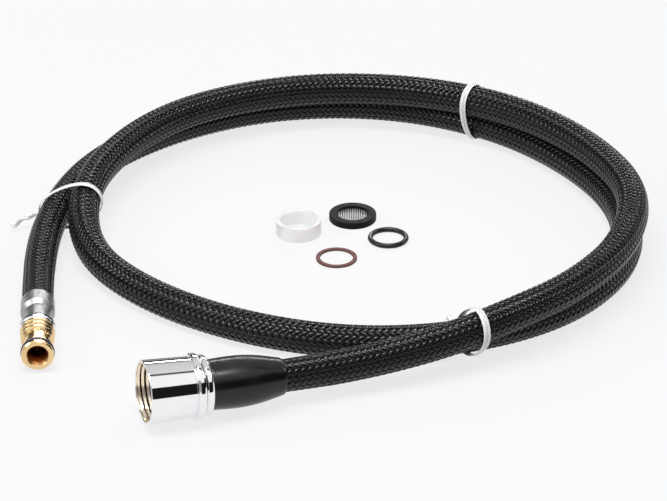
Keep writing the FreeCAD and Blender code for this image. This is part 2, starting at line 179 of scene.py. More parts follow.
metal = {"Metallic": 1.0}
looks = {
    # the strands' lineShade is painted shade in the grooves between their filaments
    "strandNylon": {"dark": (0.002, 0.002, 0.0022), "light": (0.008, 0.008, 0.0085), "rough": (0.17, 0.26),
                    "toneScale": 140.0, "grainBump": 0.000006, "lines": (0.0, 7.0, 0.25), "lineBump": 0.000008,
                    "lineShade": 0.35, "shader": {"Specular IOR Level": 0.32}},
    # the core's near-black colour is painted shade in the gaps between the braid's strands
    "coreGapShade": {"dark": (0.001, 0.001, 0.001), "light": (0.003, 0.003, 0.003), "rough": (0.7, 0.9),
                  "shader": {"Specular IOR Level": 0.1}},
    "linerRubber": {"dark": (0.03, 0.03, 0.03), "light": (0.05, 0.05, 0.05), "rough": (0.5, 0.7)},
    "nutChrome": {"dark": (0.84, 0.85, 0.87), "light": (0.93, 0.93, 0.94), "rough": (0.035, 0.07),
                  "grainBump": 0.0000004, "shader": metal},
    "turnedBrass": {"dark": (0.70, 0.46, 0.20), "light": (0.92, 0.70, 0.40), "rough": (0.14, 0.22),
                    "grainBump": 0.0000004, "lines": (4200.0, 0.0, 0.4), "lineBump": 0.0000009, "shader": metal},
    # a darker, browner copy of the brass: painted shade inside the spigot's bore
    "boreBrassShade": {"dark": (0.34, 0.14, 0.04), "light": (0.50, 0.22, 0.07), "rough": (0.35, 0.5), "shader": metal},
    "threadBrass": {"dark": (0.82, 0.68, 0.50), "light": (0.94, 0.87, 0.77), "rough": (0.16, 0.24),
                    "grainBump": 0.0000008, "shader": metal},
    "crimpSteel": {"dark": (0.28, 0.28, 0.29), "light": (0.48, 0.48, 0.49), "rough": (0.34, 0.46),
                   "toneScale": 700.0, "grainScale": 1800.0, "grainBump": 0.000008, "shader": metal},
    "ringPolish": {"dark": (0.84, 0.84, 0.85), "light": (0.94, 0.94, 0.94), "rough": (0.08, 0.14),
                   "grainBump": 0.0000004, "shader": metal},
    "sleevePlastic": {"dark": (0.002, 0.002, 0.0022), "light": (0.006, 0.006, 0.0065), "rough": (0.22, 0.30),
                      "toneScale": 90.0, "grainBump": 0.000002, "shader": {"Specular IOR Level": 0.4}},
    "ringPlastic": {"dark": (0.004, 0.004, 0.006), "light": (0.008, 0.008, 0.012), "rough": (0.3, 0.4)},
    # the ties' middle colour is a darker grey band, painted shade along the strip's middle
    "tieVinyl": {"dark": (0.70, 0.70, 0.71), "light": (0.78, 0.78, 0.79), "rough": (0.3, 0.45),
                 "grainBump": 0.00001, "middle": {"at": 0.32, "half": 0.12, "colour": (0.55, 0.56, 0.57)},
                 "shader": {"Subsurface Weight": 0.1, "Subsurface Scale": 0.0005}},
    "tieWire": {"dark": (0.35, 0.35, 0.36), "light": (0.5, 0.5, 0.5), "rough": (0.3, 0.4), "shader": metal},
    "sealRubber": {"dark": (0.002, 0.002, 0.0025), "light": (0.008, 0.008, 0.009), "rough": (0.45, 0.62),
                   "toneScale": 900.0, "grainScale": 2600.0, "grainBump": 0.00005,
                   "shader": {"Specular IOR Level": 0.12}},
    "ringRubber": {"dark": (0.003, 0.003, 0.0035), "light": (0.008, 0.008, 0.009), "rough": (0.26, 0.38),
                   "grainScale": 3500.0, "grainBump": 0.00001, "shader": {"Specular IOR Level": 0.4}},
    "blueRubber": {"dark": (0.006, 0.009, 0.035), "light": (0.012, 0.018, 0.07), "rough": (0.25, 0.35)},
    "clearNylon": {"dark": (0.88, 0.885, 0.885), "light": (0.94, 0.94, 0.94), "rough": (0.3, 0.42),
                   "grainBump": 0.00001, "shader": {"Transmission Weight": 0.7, "IOR": 1.3,
                                                    "Subsurface Weight": 0.5, "Subsurface Scale": 0.004}},
    "redFibre": {"dark": (0.035, 0.012, 0.011), "light": (0.20, 0.088, 0.078), "rough": (0.6, 0.8),
                 "toneScale": 700.0, "grainScale": 2500.0, "grainBump": 0.00006,
                 "shader": {"Specular IOR Level": 0.3}},
    "screenSteel": {"dark": (0.88, 0.88, 0.89), "light": (0.96, 0.96, 0.96), "rough": (0.4, 0.5), "shader": metal},
    # screenShade is the screen's steel coloured near black: painted shade
    "screenShade": {"dark": (0.05, 0.05, 0.05), "light": (0.10, 0.10, 0.10), "rough": (0.4, 0.5), "shader": metal},
    "floorPaper": {"dark": (0.115, 0.115, 0.115), "light": (0.125, 0.125, 0.125), "rough": (0.7, 0.8),
                   "toneScale": 2.0, "shader": {"Specular IOR Level": 0.0, "Emission Color": (1, 1, 1, 1),
                                                "Emission Strength": 0.77}},
}
materials = {name: makeMaterial(name, look) for name, look in looks.items()}
print("materials made:", len(materials))


# ---- surfaces worked out on grids
def gridPiece(name, grids, material, body, wrapAlong=False, wrapAcross=True, smooth=True, long=None):
    # grids is strips x rows x columns x 3. Each strip is joined row to row and column to column, round again
    # where it wraps, and an open strip's end rings are filled, so that every strip is closed.
    grids = np.asarray(grids, float)
    if grids.ndim == 3:
        grids = grids[None]
    strips, rows, columns, _ = grids.shape
    index = np.arange(strips * rows * columns).reshape(strips, rows, columns)
    here = index if wrapAlong else index[:, :-1]
    ahead = np.roll(index, -1, 1) if wrapAlong else index[:, 1:]
    if wrapAcross:
        corners = [here, np.roll(here, -1, 2), np.roll(ahead, -1, 2), ahead]
    else:
        corners = [here[..., :-1], here[..., 1:], ahead[..., 1:], ahead[..., :-1]]
    quads = np.stack(corners, -1)
    across = np.linspace(0, 1, columns + 1 if wrapAcross else columns)
    steps = np.linalg.norm(np.diff(grids[0, :, 0], axis=0), axis=-1)
    distance = np.r_[0, np.cumsum(steps)] if long is None else np.asarray(long)
    if wrapAlong:
        distance = np.r_[distance, distance[-1] + steps[-1]]
    u0, v0 = np.meshgrid(across[:-1], distance[:-1])
    u1, v1 = np.meshgrid(across[1:], distance[1:])
    uv = np.stack([np.stack([u0, v0], -1), np.stack([u1, v0], -1), np.stack([u1, v1], -1), np.stack([u0, v1], -1)], -2)
    uv = np.broadcast_to(uv, (strips, *uv.shape)).reshape(-1, 2)
    quads = quads.reshape(-1, 4)
    caps = np.empty((0, columns), int)
    if wrapAcross and not wrapAlong:
        caps = np.concatenate([index[:, 0, ::-1], index[:, -1]])
    points = grids.reshape(-1, 3)
    a, b, c, d = (points[quads[:, k]] for k in range(4))
    volume = np.einsum("ij,ij->", a, np.cross(b, c)) + np.einsum("ij,ij->", a, np.cross(c, d))
    if len(caps):
        ends = points[caps]
        middle = ends.mean(1, keepdims=True)
        volume += np.einsum("ijk,ijk->", np.broadcast_to(middle, ends.shape), np.cross(ends, np.roll(ends, -1, 1)))
    if volume < 0:
        quads = quads[:, ::-1]
        uv = uv.reshape(-1, 4, 2)[:, ::-1].reshape(-1, 2)
        caps = caps[:, ::-1]
    mesh = bpy.data.meshes.new(name)
    mesh.vertices.add(len(points))
    mesh.vertices.foreach_set("co", points.ravel())
    loops = np.concatenate([quads.ravel(), caps.ravel()])
    sizes = np.r_[np.full(len(quads), 4), np.full(len(caps), columns)]
    mesh.loops.add(len(loops))
    mesh.loops.foreach_set("vertex_index", loops.astype(np.int32))
    mesh.polygons.add(len(sizes))
    mesh.polygons.foreach_set("loop_start", np.r_[0, np.cumsum(sizes)[:-1]].astype(np.int32))
    mesh.polygons.foreach_set("loop_total", sizes.astype(np.int32))
    mesh.update(calc_edges=True)
    layer = mesh.uv_layers.new(name="UVMap")
    layer.data.foreach_set("uv", np.concatenate([uv, np.zeros((caps.size, 2))]).ravel())
    mesh.polygons.foreach_set("use_smooth", np.full(len(sizes), smooth))
    mesh.validate()
    piece = bpy.data.objects.new(name, mesh)
    scene.collection.objects.link(piece)
    mesh.materials.append(materials[material])
    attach(piece, body)
    return piece


def crossAxes(axis):
    # Two directions square to the axis and to each other
    side = unit(np.cross(axis, (0, 0, 1))) if abs(axis[2]) < 0.9 else np.array([1.0, 0, 0])
    return side, np.cross(side, axis)


def roundOutline(corners):
    # A closed outline of (radius, height, rounding): each corner becomes an arc of five points, with one more
    # point a little way off on each side, so that the flats beside it stay flat when shaded.
    spots = np.array([(r, h) for r, h, _ in corners], float)
    result = []
    for k, (_, _, rounding) in enumerate(corners):
        corner, before, after = spots[k], spots[k - 1], spots[(k + 1) % len(spots)]
        if not rounding:
            result.append(corner[None])
            continue
        back, on = unit(before - corner), unit(after - corner)
        half = np.arccos(np.clip(np.dot(back, on), -1, 1)) / 2
        reach = min(rounding / np.tan(half), 0.45 * np.linalg.norm(before - corner),
                    0.45 * np.linalg.norm(after - corner))
        t = np.linspace(0, 1, 6)[:, None]
        start, end = corner + back * reach, corner + on * reach
        arc = (1 - t) ** 2 * start + 2 * t * (1 - t) * corner + t ** 2 * end
        support = reach * 0.12
        result += [start[None] + back * support, arc, end[None] + on * support]
    return np.concatenate(result)


def lathe(name, outline, place, material, body, around=128, change=None):
    # The outline, in millimetres, turned about the axis: base + height along it + radius round it. change may
    # alter the radii by height and angle.
    base, axis = place
    side, over = crossAxes(axis)
    angle = np.linspace(0, 2 * pi, around, endpoint=False)
    radius, height = (np.broadcast_to(outline[:, k:k + 1], (len(outline), around)) for k in (0, 1))
    if change is not None:
        radius = change(radius, height, angle[None])
    ring = np.cos(angle)[:, None] * side + np.sin(angle)[:, None] * over
    grid = base + mm * (height[..., None] * axis + radius[..., None] * ring)
    steps = np.linalg.norm(np.diff(outline, axis=0), axis=1)
    return gridPiece(name, grid, material, body, wrapAlong=True, long=np.r_[0, np.cumsum(steps)] * mm)


def torus(name, ring, section, place, material, body, around=128, change=None):
    # A round section carried round a ring: (ring + section cos t) out from the axis and section sin t along it.
    t = np.linspace(0, 2 * pi, 24, endpoint=False)
    outline = np.stack([ring + section * np.cos(t), section * np.sin(t)], -1)
    return lathe(name, outline, place, material, body, around, change)


# ---- hose: one smooth line, a near-black core on it that paints shade into the gaps between the strands, and the braid's strands laid round it
mouth = np.array([-0.0676, -0.1280, 0.0135])
nutAxis = unit([cos(radians(18.5)), sin(radians(18.5)), -0.05])
route = [
    (-0.1121, -0.0484, 0.0072), (-0.1148, -0.0104, 0.0070), (-0.1108, 0.0336, 0.0075), (-0.0963, 0.0766, 0.0071),
    (-0.0643, 0.1116, 0.0067), (-0.0223, 0.1326, 0.0067), (0.0257, 0.1331, 0.0069), (0.0692, 0.1116, 0.0075),
    (0.1007, 0.0771, 0.0070), (0.1197, 0.0351, 0.0067), (0.1182, -0.0109, 0.0067), (0.0957, -0.0494, 0.0070),
    (0.0592, -0.0744, 0.0076), (0.0142, -0.0804, 0.0068), (-0.0303, -0.0684, 0.0066), (-0.0708, -0.0409, 0.0066),
    (-0.0968, -0.0039, 0.0069), (-0.0998, 0.0356, 0.0156), (-0.0818, 0.0796, 0.0172), (-0.0528, 0.1101, 0.0173),
    (-0.0088, 0.1266, 0.0174), (0.0377, 0.1211, 0.0187), (0.0772, 0.0996, 0.0201), (0.1072, 0.0646, 0.0201),
    (0.1235, 0.0216, 0.0198), (0.1155, -0.0227, 0.0196), (0.0942, -0.0569, 0.0194), (0.0692, -0.0777, 0.0185),
    (0.0402, -0.0912, 0.0129),
]
route += [tuple(mouth + nutAxis * 0.070), tuple(mouth + nutAxis * 0.0405)]

hoseSet = {
    "diameter": 0.013, "length": 1.30, "coreRadius": 0.0055, "carriers": 16, "lead": 0.0424,
    "strandMiddle": 0.00580, "rise": 0.00036, "thick": 0.00034, "halfWidth": 0.00090, "samples": 7,
    "taller": 0.02, "narrower": 0.025, "endShrink": 0.05, "endReach": 0.03, "tail": 0.006,
    "pinchReach": 0.002, "pinch": 0.07,
}

hoseCurve = bpy.data.curves.new("hoseCore", "CURVE")
hoseCurve.dimensions = "3D"
hoseSpline = hoseCurve.splines.new("NURBS")
hoseSpline.points.add(len(route) - 1)
hoseSpline.points.foreach_set("co", np.c_[np.array(route), np.ones(len(route))].ravel())
hoseSpline.order_u = 3
hoseSpline.use_endpoint_u = True
hoseSpline.resolution_u = 24
hoseCurve.resolution_u = 24
hoseCore = bpy.data.objects.new("hoseCore", hoseCurve)
scene.collection.objects.link(hoseCore)
bpy.context.view_layer.update()
hoseLine = bpy.data.meshes.new_from_object(hoseCore)
linePoints = np.empty(len(hoseLine.vertices) * 3)
hoseLine.vertices.foreach_get("co", linePoints)
linePoints = linePoints.reshape(-1, 3)
lineSteps = np.linalg.norm(np.diff(linePoints, axis=0), axis=1)
lineLong = np.r_[0, np.cumsum(lineSteps)]
lineWay = unit(np.gradient(linePoints, lineLong, axis=0))
hoseLength = lineLong[-1]
# the core is a near-black tube under the braid: painted shade in the gaps between the strands
hoseCurve.bevel_depth = hoseSet["coreRadius"]
hoseCurve.bevel_resolution = 5
hoseCurve.use_fill_caps = True
hoseCurve.materials.append(materials["coreGapShade"])
print("hose length", round(hoseLength, 4))


def hoseFrame(s):
    # The line's point, direction, sideways and upward directions at each distance, carried straight past its ends
    inside = np.clip(s, 0, hoseLength)
    point = np.stack([np.interp(inside, lineLong, linePoints[:, k]) for k in range(3)], -1)
    way = unit(np.stack([np.interp(inside, lineLong, lineWay[:, k]) for k in range(3)], -1))
    point = point + way * (s - inside)[..., None]
    side = unit(np.cross(way, (0, 0, 1)))
    return point, way, side, np.cross(side, way)


def hoseSwell(s, angle):
    # The hose lies a little taller than wide in its bends, is drawn in near its ends and pinched in the ferrules
    inward = np.minimum(s, hoseLength - s)
    near = np.clip(1 - inward / hoseSet["endReach"], 0, 1)
    oval = (1 - near) * (hoseSet["taller"] * np.sin(angle) ** 2 - hoseSet["narrower"] * np.cos(angle) ** 2)
    pinch = np.clip(-inward / hoseSet["pinchReach"], 0, 1) * hoseSet["pinch"]
    return 1 + oval - hoseSet["endShrink"] * near ** 0.5 - pinch


def tubeAlong(radii, s, columns):
    # Each ring of the outline, given as radius by distance, set square to the hose's line
    angle = np.linspace(0, 2 * pi, columns, endpoint=False)[None]
    point, way, side, over = hoseFrame(s[:, None])
    ring = np.cos(angle)[..., None] * side + np.sin(angle)[..., None] * over
    return point + radii[:, None, None] * ring


def strand(index, turnWay):
    # One strand winds round the line by angle = index share + turnWay distance / lead. It goes over two and
    # under two of the others, so its height is a cosine of the crossings passed. Its section is a low crown.
    carriers, lead = hoseSet["carriers"], hoseSet["lead"]
    count = int(hoseLength / (lead * 2 / carriers) * hoseSet["samples"])
    s = np.linspace(-hoseSet["tail"], hoseLength + hoseSet["tail"], count)
    angle = 2 * pi * (index / carriers + turnWay * s / lead)
    passed = 2 * index + turnWay * 2 * carriers * s / lead - 0.5
    wave = turnWay * np.cos(pi / 2 * passed)
    height = np.sign(wave) * np.abs(wave) ** 0.8
    point, way, side, over = hoseFrame(s)
    out = np.cos(angle)[:, None] * side + np.sin(angle)[:, None] * over
    circling = -np.sin(angle)[:, None] * side + np.cos(angle)[:, None] * over
    along = unit(way + turnWay * circling * (2 * pi * hoseSet["strandMiddle"] / lead))
    across = np.cross(along, out)
    radius = (hoseSet["strandMiddle"] + hoseSet["rise"] * height) * hoseSwell(s, angle)
    sectionWide = np.array([-1, -0.74, 0, 0.74, 1, 0])
    sectionHigh = np.array([0, 0.74, 1, 0.74, 0, -0.45])
    wide = hoseSet["halfWidth"] * (0.94 + 0.08 * height)[:, None] * sectionWide
    high = radius[:, None] + hoseSet["thick"] * sectionHigh
    return point[:, None] + high[..., None] * out[:, None] + wide[..., None] * across[:, None], s


for turnWay, label in ((1, "right"), (-1, "left")):
    for first in (0, 8):
        strips = [strand(index, turnWay) for index in range(first, first + 8)]
        piece = gridPiece(f"braid_{label}_{first}", np.stack([g for g, _ in strips]), "strandNylon", "hose",
                          long=strips[0][1])
print("braid strands laid")

# The liner inside: out along the outer wall and back along the bore, as one closed outline
linerSet = {"outer": 0.0050, "bore": 0.0038, "start": -0.008, "end": 0.0145, "rows": 700, "columns": 20}
linerDistance = np.linspace(linerSet["start"], hoseLength + linerSet["end"], linerSet["rows"])
linerOut = tubeAlong(np.full(linerSet["rows"], linerSet["outer"]), linerDistance, linerSet["columns"])
linerBack = tubeAlong(np.full(linerSet["rows"], linerSet["bore"]), linerDistance[::-1], linerSet["columns"])
liner = gridPiece("linerTube", np.concatenate([linerOut, linerBack]), "linerRubber", "hose",
                  wrapAlong=True)
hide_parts("hose_liner")

# ---- swivel nut end
nutPlace = (mouth, nutAxis)
threadSet = {"pitch": 1.814, "depth": 0.6, "start": 0.5, "end": 11.0, "root": 10.85}
nutShell = lathe("nutShell", roundOutline([
    (11.2, 0.0, 0.08), (11.8, 0.0, 0.2), (12.0, 0.3, 0.3), (11.42, 17.4, 0.25), (11.15, 17.75, 0.2),
    (11.9, 18.0, 0.35), (12.4, 18.7, 0.6), (12.4, 20.1, 0.6), (12.0, 20.8, 0.35), (11.0, 20.9, 0.3),
    (7.4, 20.9, 0.1), (7.4, 17.6, 0.1), (10.95, 17.5, 0.1), (10.95, 0.5, 0.1),
]), nutPlace, "nutChrome", "nut", around=192)


def threadShape(radius, height, angle):
    # A helical ridge: the wall moves in by a softened triangle wave of height / pitch less the turn, fading at
    # both ends of the thread
    turns = height / threadSet["pitch"] - angle / (2 * pi)
    wave = 0.5 + np.arcsin(0.97 * np.sin(2 * pi * turns)) / pi
    fade = np.clip((height - threadSet["start"]) / 1.2, 0, 1) * np.clip((threadSet["end"] - height) / 1.2, 0, 1)
    inner = np.abs(radius - threadSet["root"]) < 0.01
    return radius - inner * threadSet["depth"] * wave * fade


threadHeights = np.linspace(0.3, 17.0, 140)
threadInner = np.stack([np.full(140, threadSet["root"]), threadHeights], -1)
threadOutline = np.concatenate([threadInner, [(10.97, 17.1), (10.97, 0.25)]])
lathe("nutThread", threadOutline, nutPlace, "threadBrass", "nut", around=144, change=threadShape)
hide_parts("coupling_nut")
swivelRing = lathe("swivelRing", roundOutline([
    (7.1, 21.2, 0.1), (10.8, 21.2, 0.3), (11.4, 21.9, 0.6), (11.4, 23.3, 0.6), (10.8, 24.1, 0.4), (7.1, 24.1, 0.1),
]), nutPlace, "nutChrome", "hose", around=160)
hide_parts("swivel_collar")

# The sleeve swells from the collar, stays full to its middle, then draws in to the hose with a rounded lip
sleeveSet = {"start": 24.1, "end": 53.2, "root": 9.35, "belly": 0.5, "tip": 6.85}
sleeveHeights = np.linspace(sleeveSet["start"] + 0.3, sleeveSet["end"] - 0.5, 40)
sleeveShare = (sleeveHeights - sleeveSet["start"]) / (sleeveSet["end"] - sleeveSet["start"])
sleeveRadii = (sleeveSet["root"] + sleeveSet["belly"] * np.sin(pi * np.clip(sleeveShare * 1.15, 0, 1)) ** 1.2
               - (sleeveSet["root"] - sleeveSet["tip"]) * sleeveShare ** 3.2)
sleeveOuter = np.stack([sleeveRadii, sleeveHeights], -1)
lip = np.array([[sleeveSet["tip"] - 0.12, sleeveSet["end"] - 0.15], [sleeveSet["tip"] - 0.35, sleeveSet["end"]],
                [6.45, sleeveSet["end"]], [6.32, sleeveSet["end"] - 0.2], [6.32, 41.0], [6.7, 40.5], [6.7, 26.0],
                [7.1, 25.8], [7.1, 24.1], [sleeveSet["root"] - 0.35, sleeveSet["start"]],
                [sleeveSet["root"] - 0.1, sleeveSet["start"] + 0.08]])
bendSleeve = lathe("bendSleeve", np.concatenate([sleeveOuter, lip]), nutPlace, "sleevePlastic", "hose",
                   around=128)
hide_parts("bend_sleeve")

# ---- spigot end
start = np.array(route[0])
spigotAxis = unit(start - np.array(route[1]))
spigotPlace = (start, spigotAxis)


def crimpShape(radius, height, angle):
    # Eight shallow flats pressed round the grip, by the angle's cosine, and slight unevenness
    grip = np.clip(1 - np.abs(height - 3.8) / 4.0, 0, 1) * (radius > 6.2)
    return radius - 0.04 * grip * (0.5 + 0.5 * np.cos(8 * angle)) + 0.005 * np.sin(3 * angle + height)


gripRows = [(6.45, 0.0, 0.15), (6.6, 0.5, 0.3), (6.6, 2.6, 0.2), (6.5, 3.8, 0.3), (6.6, 5.0, 0.2), (6.6, 7.4, 0.3)]
spigotFerrule = lathe("spigotFerrule", roundOutline([(6.1, 0.0, 0.1)] + gripRows + [
    (5.15, 9.2, 0.35), (5.15, 19.9, 0.1), (4.3, 19.9, 0.1), (4.3, 8.1, 0.1), (6.0, 8.0, 0.1),
]), spigotPlace, "crimpSteel", "hose", around=128, change=crimpShape)
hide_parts("spigot_ferrule")
backRing = lathe("spigotBackRing", roundOutline([
    (4.3, 19.9, 0.05), (6.9, 19.9, 0.2), (6.9, 20.6, 0.2), (4.3, 20.6, 0.05),
]), spigotPlace, "ringPlastic", "hose")
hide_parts("spigot_back_ring")
spigotRing = lathe("spigotCollar", roundOutline([
    (4.3, 20.6, 0.05), (6.6, 20.6, 0.2), (6.95, 21.0, 0.35), (6.95, 22.1, 0.4), (6.4, 22.6, 0.2), (4.3, 22.6, 0.05),
]), spigotPlace, "ringPolish", "hose")
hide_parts("spigot_collar")

ribRows = []
for rib in range(3):
    low = 22.6 + 2.5 * rib
    size = 6.6 - 0.15 * rib
    ribRows += [(size - 0.85, low + 0.05, 0.1), (size, low + 0.55, 0.25), (size, low + 1.35, 0.25),
                (size - 0.85, low + 2.1, 0.1)]
spigotBody = lathe("spigotBody", roundOutline([
    (2.8, -8.0, 0.0), (3.3, -8.0, 0.1), (3.8, -7.0, 0.1), (3.8, 8.1, 0.1), (4.3, 8.1, 0.1), (4.3, 22.6, 0.0),
] + ribRows + [
    (5.6, 30.05, 0.1), (5.2, 30.3, 0.2), (5.2, 36.3, 0.4), (6.1, 36.6, 0.15), (6.1, 37.9, 0.12),
    (5.0, 37.9, 0.1), (5.0, 39.9, 0.1), (6.2, 39.9, 0.12), (6.2, 40.9, 0.25), (5.7, 41.5, 0.3), (4.35, 41.5, 0.15),
    (4.05, 41.2, 0.1), (4.05, 21.5, 0.1), (2.8, 20.3, 0.1),
]), spigotPlace, "turnedBrass", "hose", around=144)
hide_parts("spigot_body")
# a thin sheet of the darker brass laid on the bore's wall: painted shade inside the bore
lathe("spigotBore", roundOutline([
    (3.9, 21.7, 0.0), (4.06, 21.7, 0.0), (4.06, 41.1, 0.0), (3.95, 41.1, 0.0),
]), spigotPlace, "boreBrassShade", "hose")
ringPlace = (start + spigotAxis * 38.9 * mm, spigotAxis)
spigotSeal = torus("spigotSeal", 5.72, 0.74, ringPlace, "blueRubber", "hose")
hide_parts("spigot_o_ring")
print("fittings turned")

# ---- twist ties
tieSet = {"gap": 0.00042, "width": 0.0028, "floorGap": 0.00002, "ridge": 0.00052, "wireRadius": 0.0002,
          "tail": 0.010, "turns": 0.9, "soften": 4.5, "snug": 0.9, "squeezed": 0.985, "stretched": 1.01,
          "lowest": 0.0003, "tailApart": 0.00006, "tailLowest": 0.0001}
tieSection = np.array([(-1.0, 0.25), (-0.93, 0.5), (-0.36, 0.55), (-0.18, 1.0), (0.18, 1.0), (0.36, 0.55),
                       (0.93, 0.5), (1.0, 0.25), (0.93, 0.0), (0.3, 0.0), (-0.3, 0.0), (-0.93, 0.0)])


def tieLoop(around, strands, heading, slack):
    # In each direction the loop's reach is the farther of the two strands' ellipses, then averaged over nearby
    # directions so that it bows out between them, and it stands off by the most that this takes away. Its points
    # are reach times direction plus the reach's slope times the direction a quarter turn on. A strand that crosses
    # the tie's plane at a slant is wider there, by one over the slant's cosine.
    sideways = np.cross(heading, (0, 0, 1))
    up = np.array([0, 0, 1.0])
    way = np.cos(around)[:, None] * sideways + np.sin(around)[:, None] * up
    onward = -np.sin(around)[:, None] * sideways + np.cos(around)[:, None] * up
    middle = (strands[0][0] + strands[1][0]) / 2
    reaches = []
    for centre, run in strands:
        level = unit(run * np.array([1, 1, 0]))
        wide = (hoseSet["diameter"] / 2 * tieSet["squeezed"] + slack) / max(abs(level @ heading), 0.5)
        tall = (hoseSet["diameter"] / 2 * tieSet["stretched"] + slack) / max(np.hypot(run[0], run[1]), 0.5)
        reaches.append(way @ (centre - middle) + np.hypot(wide * np.cos(around), tall * np.sin(around)))
    reach = np.maximum(*reaches)
    step = np.arange(-12, 13)
    share = np.exp(-0.5 * (step / tieSet["soften"]) ** 2)
    smooth = sum(part * np.roll(reach, k) for part, k in zip(share / share.sum(), step))
    smooth = smooth + tieSet["snug"] * (reach - smooth).max()
    slope = (np.roll(smooth, -1) - np.roll(smooth, 1)) / (2 * (around[1] - around[0]))
    spots = middle + smooth[:, None] * way + slope[:, None] * onward
    spots[:, 2] = np.maximum(spots[:, 2], tieSet["lowest"])
    return spots, way


def strandsAt(point, heading):
    # Where the hose's line crosses the tie's plane near the point, lower strand first
    off = (linePoints - point) @ heading
    swap = np.nonzero(off[:-1] * off[1:] <= 0)[0]
    share = (off[swap] / (off[swap] - off[swap + 1]))[:, None]
    hits = linePoints[swap] * (1 - share) + linePoints[swap + 1] * share
    near = np.linalg.norm(hits[:, :2] - point[:2], axis=1) < 0.03
    found = sorted(zip(hits[near], lineWay[swap][near]), key=lambda strand: strand[0][2])
    return found[:2]


def twistTie(name, node, point, degrees, tailFrom, tailWay):
    # tailFrom is the angle round the loop where its ends leave it, tailWay the way they then go
    heading = np.array([cos(radians(degrees)), sin(radians(degrees)), 0])
    strands = strandsAt(np.array([*point, 0]), heading)
    turn = np.linspace(0, 2 * pi, 120, endpoint=False) + 0.001
    base, way = tieLoop(turn, strands, heading, tieSet["gap"])
    wide = tieSection[:, 0] * tieSet["width"] / 2
    thick = tieSection[:, 1] * tieSet["ridge"]
    grid = base[:, None] + thick[None, :, None] * way[:, None] + wide[None, :, None] * heading
    grid[..., 2] = np.maximum(grid[..., 2], tieSet["floorGap"])  # the strip is pressed flat on the floor
    loop = gridPiece(name + "Loop", grid, "tieVinyl", "hose", wrapAlong=True)
    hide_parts(node + "_band")
    t = np.linspace(0, 2 * pi, 8, endpoint=False)
    core = base + tieSet["ridge"] * 0.5 * way
    core[:, 2] = np.maximum(core[:, 2], tieSet["wireRadius"] + tieSet["floorGap"])
    ring = tieSet["wireRadius"] * (np.cos(t)[None, :, None] * way[:, None] + np.sin(t)[None, :, None] * heading)
    wire = gridPiece(name + "Wire", core[:, None] + ring, "tieWire", "hose", wrapAlong=True)
    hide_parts(node + "_wire")
    # the tail: the strip's two ends side by side, wound round each other as they bend away
    at = np.argmin(np.abs(np.angle(np.exp(1j * (turn - radians(tailFrom))))))
    s = np.linspace(0, 1, 48)
    leave, go = way[at], unit(np.array(tailWay, float))
    bend = leave * (s - 0.5 * s ** 2)[:, None] * 0.9 + go * (0.25 * s + 0.6 * s ** 2)[:, None]
    line = base[at] + tieSet["ridge"] * 0.6 * leave + tieSet["tail"] * bend
    run = unit(np.gradient(line, axis=0))
    across = unit(heading - run * (run @ heading)[:, None])
    spin = 2 * pi * tieSet["turns"] * s
    flat = np.cos(spin)[:, None] * across + np.sin(spin)[:, None] * np.cross(run, across)
    thin = np.cross(run, flat)
    ends = []
    for half in (1, -1):
        push = thin * half * tieSet["tailApart"]
        span = np.clip(0.75 + 0.25 * s, 0, 0.95)[:, None, None]
        ends.append(line[:, None] + push[:, None] + span * wide[None, :, None] * flat[:, None]
                    + half * thick[None, :, None] * thin[:, None])
    grid = np.stack(ends)
    grid[..., 2] = np.maximum(grid[..., 2], tieSet["tailLowest"])
    gridPiece(name + "Tail", grid, "tieVinyl", "hose")


twistTie("tieLeft", "tie_left", (-0.1055, 0.0285), 82, 190, (-0.75, -0.60, -0.35))
twistTie("tieBack", "tie_back", (0.0620, 0.1128), -32, 200, (0.5, 0.6, 0.05))
twistTie("tieFront", "tie_front", (0.0545, -0.0796), 204, 5, (-0.2, 0.9, -0.4))
print("ties wound")

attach(hoseCore, "hose")
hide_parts("hose_braid")

# ---- loose seals
upright = np.array([0.0, 0, 1])
spacer = lathe("spacerRing", roundOutline([
    (7.2, 0.0, 0.25), (9.2, 0.0, 0.4), (9.2, 6.0, 0.4), (7.2, 6.0, 0.25),
]), (np.array([-0.0124, 0.0252, 0]), upright), "clearNylon", "spacer")
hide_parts("spacer_ring")
washerCentre = np.array([0.0095, 0.0373, 0])
washer = lathe("filterWasher", roundOutline([
    (6.2, 0.0, 0.2), (9.6, 0.0, 0.4), (9.6, 2.8, 0.45), (6.3, 2.8, 0.35), (6.2, 1.5, 0.0), (7.0, 1.5, 0.0),
    (7.0, 1.0, 0.0), (6.2, 1.0, 0.0),
]), (washerCentre, upright), "sealRubber", "filter")
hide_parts("filter_washer")


def screenWires(centre, reach, apart, crossed, wire, bend, turned):
    # Wires lie apart from each other and each rises and falls as a cosine past the wires it crosses, half a step
    # out from its neighbour. Its length is the circle's chord.
    offsets = (np.arange(int(reach / apart) * 2 + 1) - int(reach / apart)) * apart
    half = np.sqrt(np.maximum(reach ** 2 - offsets ** 2, (0.15 * reach) ** 2))
    s = half[:, None] * np.linspace(-1, 1, 97)
    lift = bend * np.cos(pi * (s / crossed + np.arange(len(offsets))[:, None] + turned))
    angle = np.linspace(0, 2 * pi, 6, endpoint=False)
    x = np.broadcast_to(s[..., None], (*s.shape, 6))
    y = np.broadcast_to(offsets[:, None, None] + 0.5 * wire * np.cos(angle), x.shape)
    z = lift[..., None] + 0.5 * wire * np.sin(angle)
    grid = np.stack([y, x, z] if turned else [x, y, z], -1)
    return grid + centre
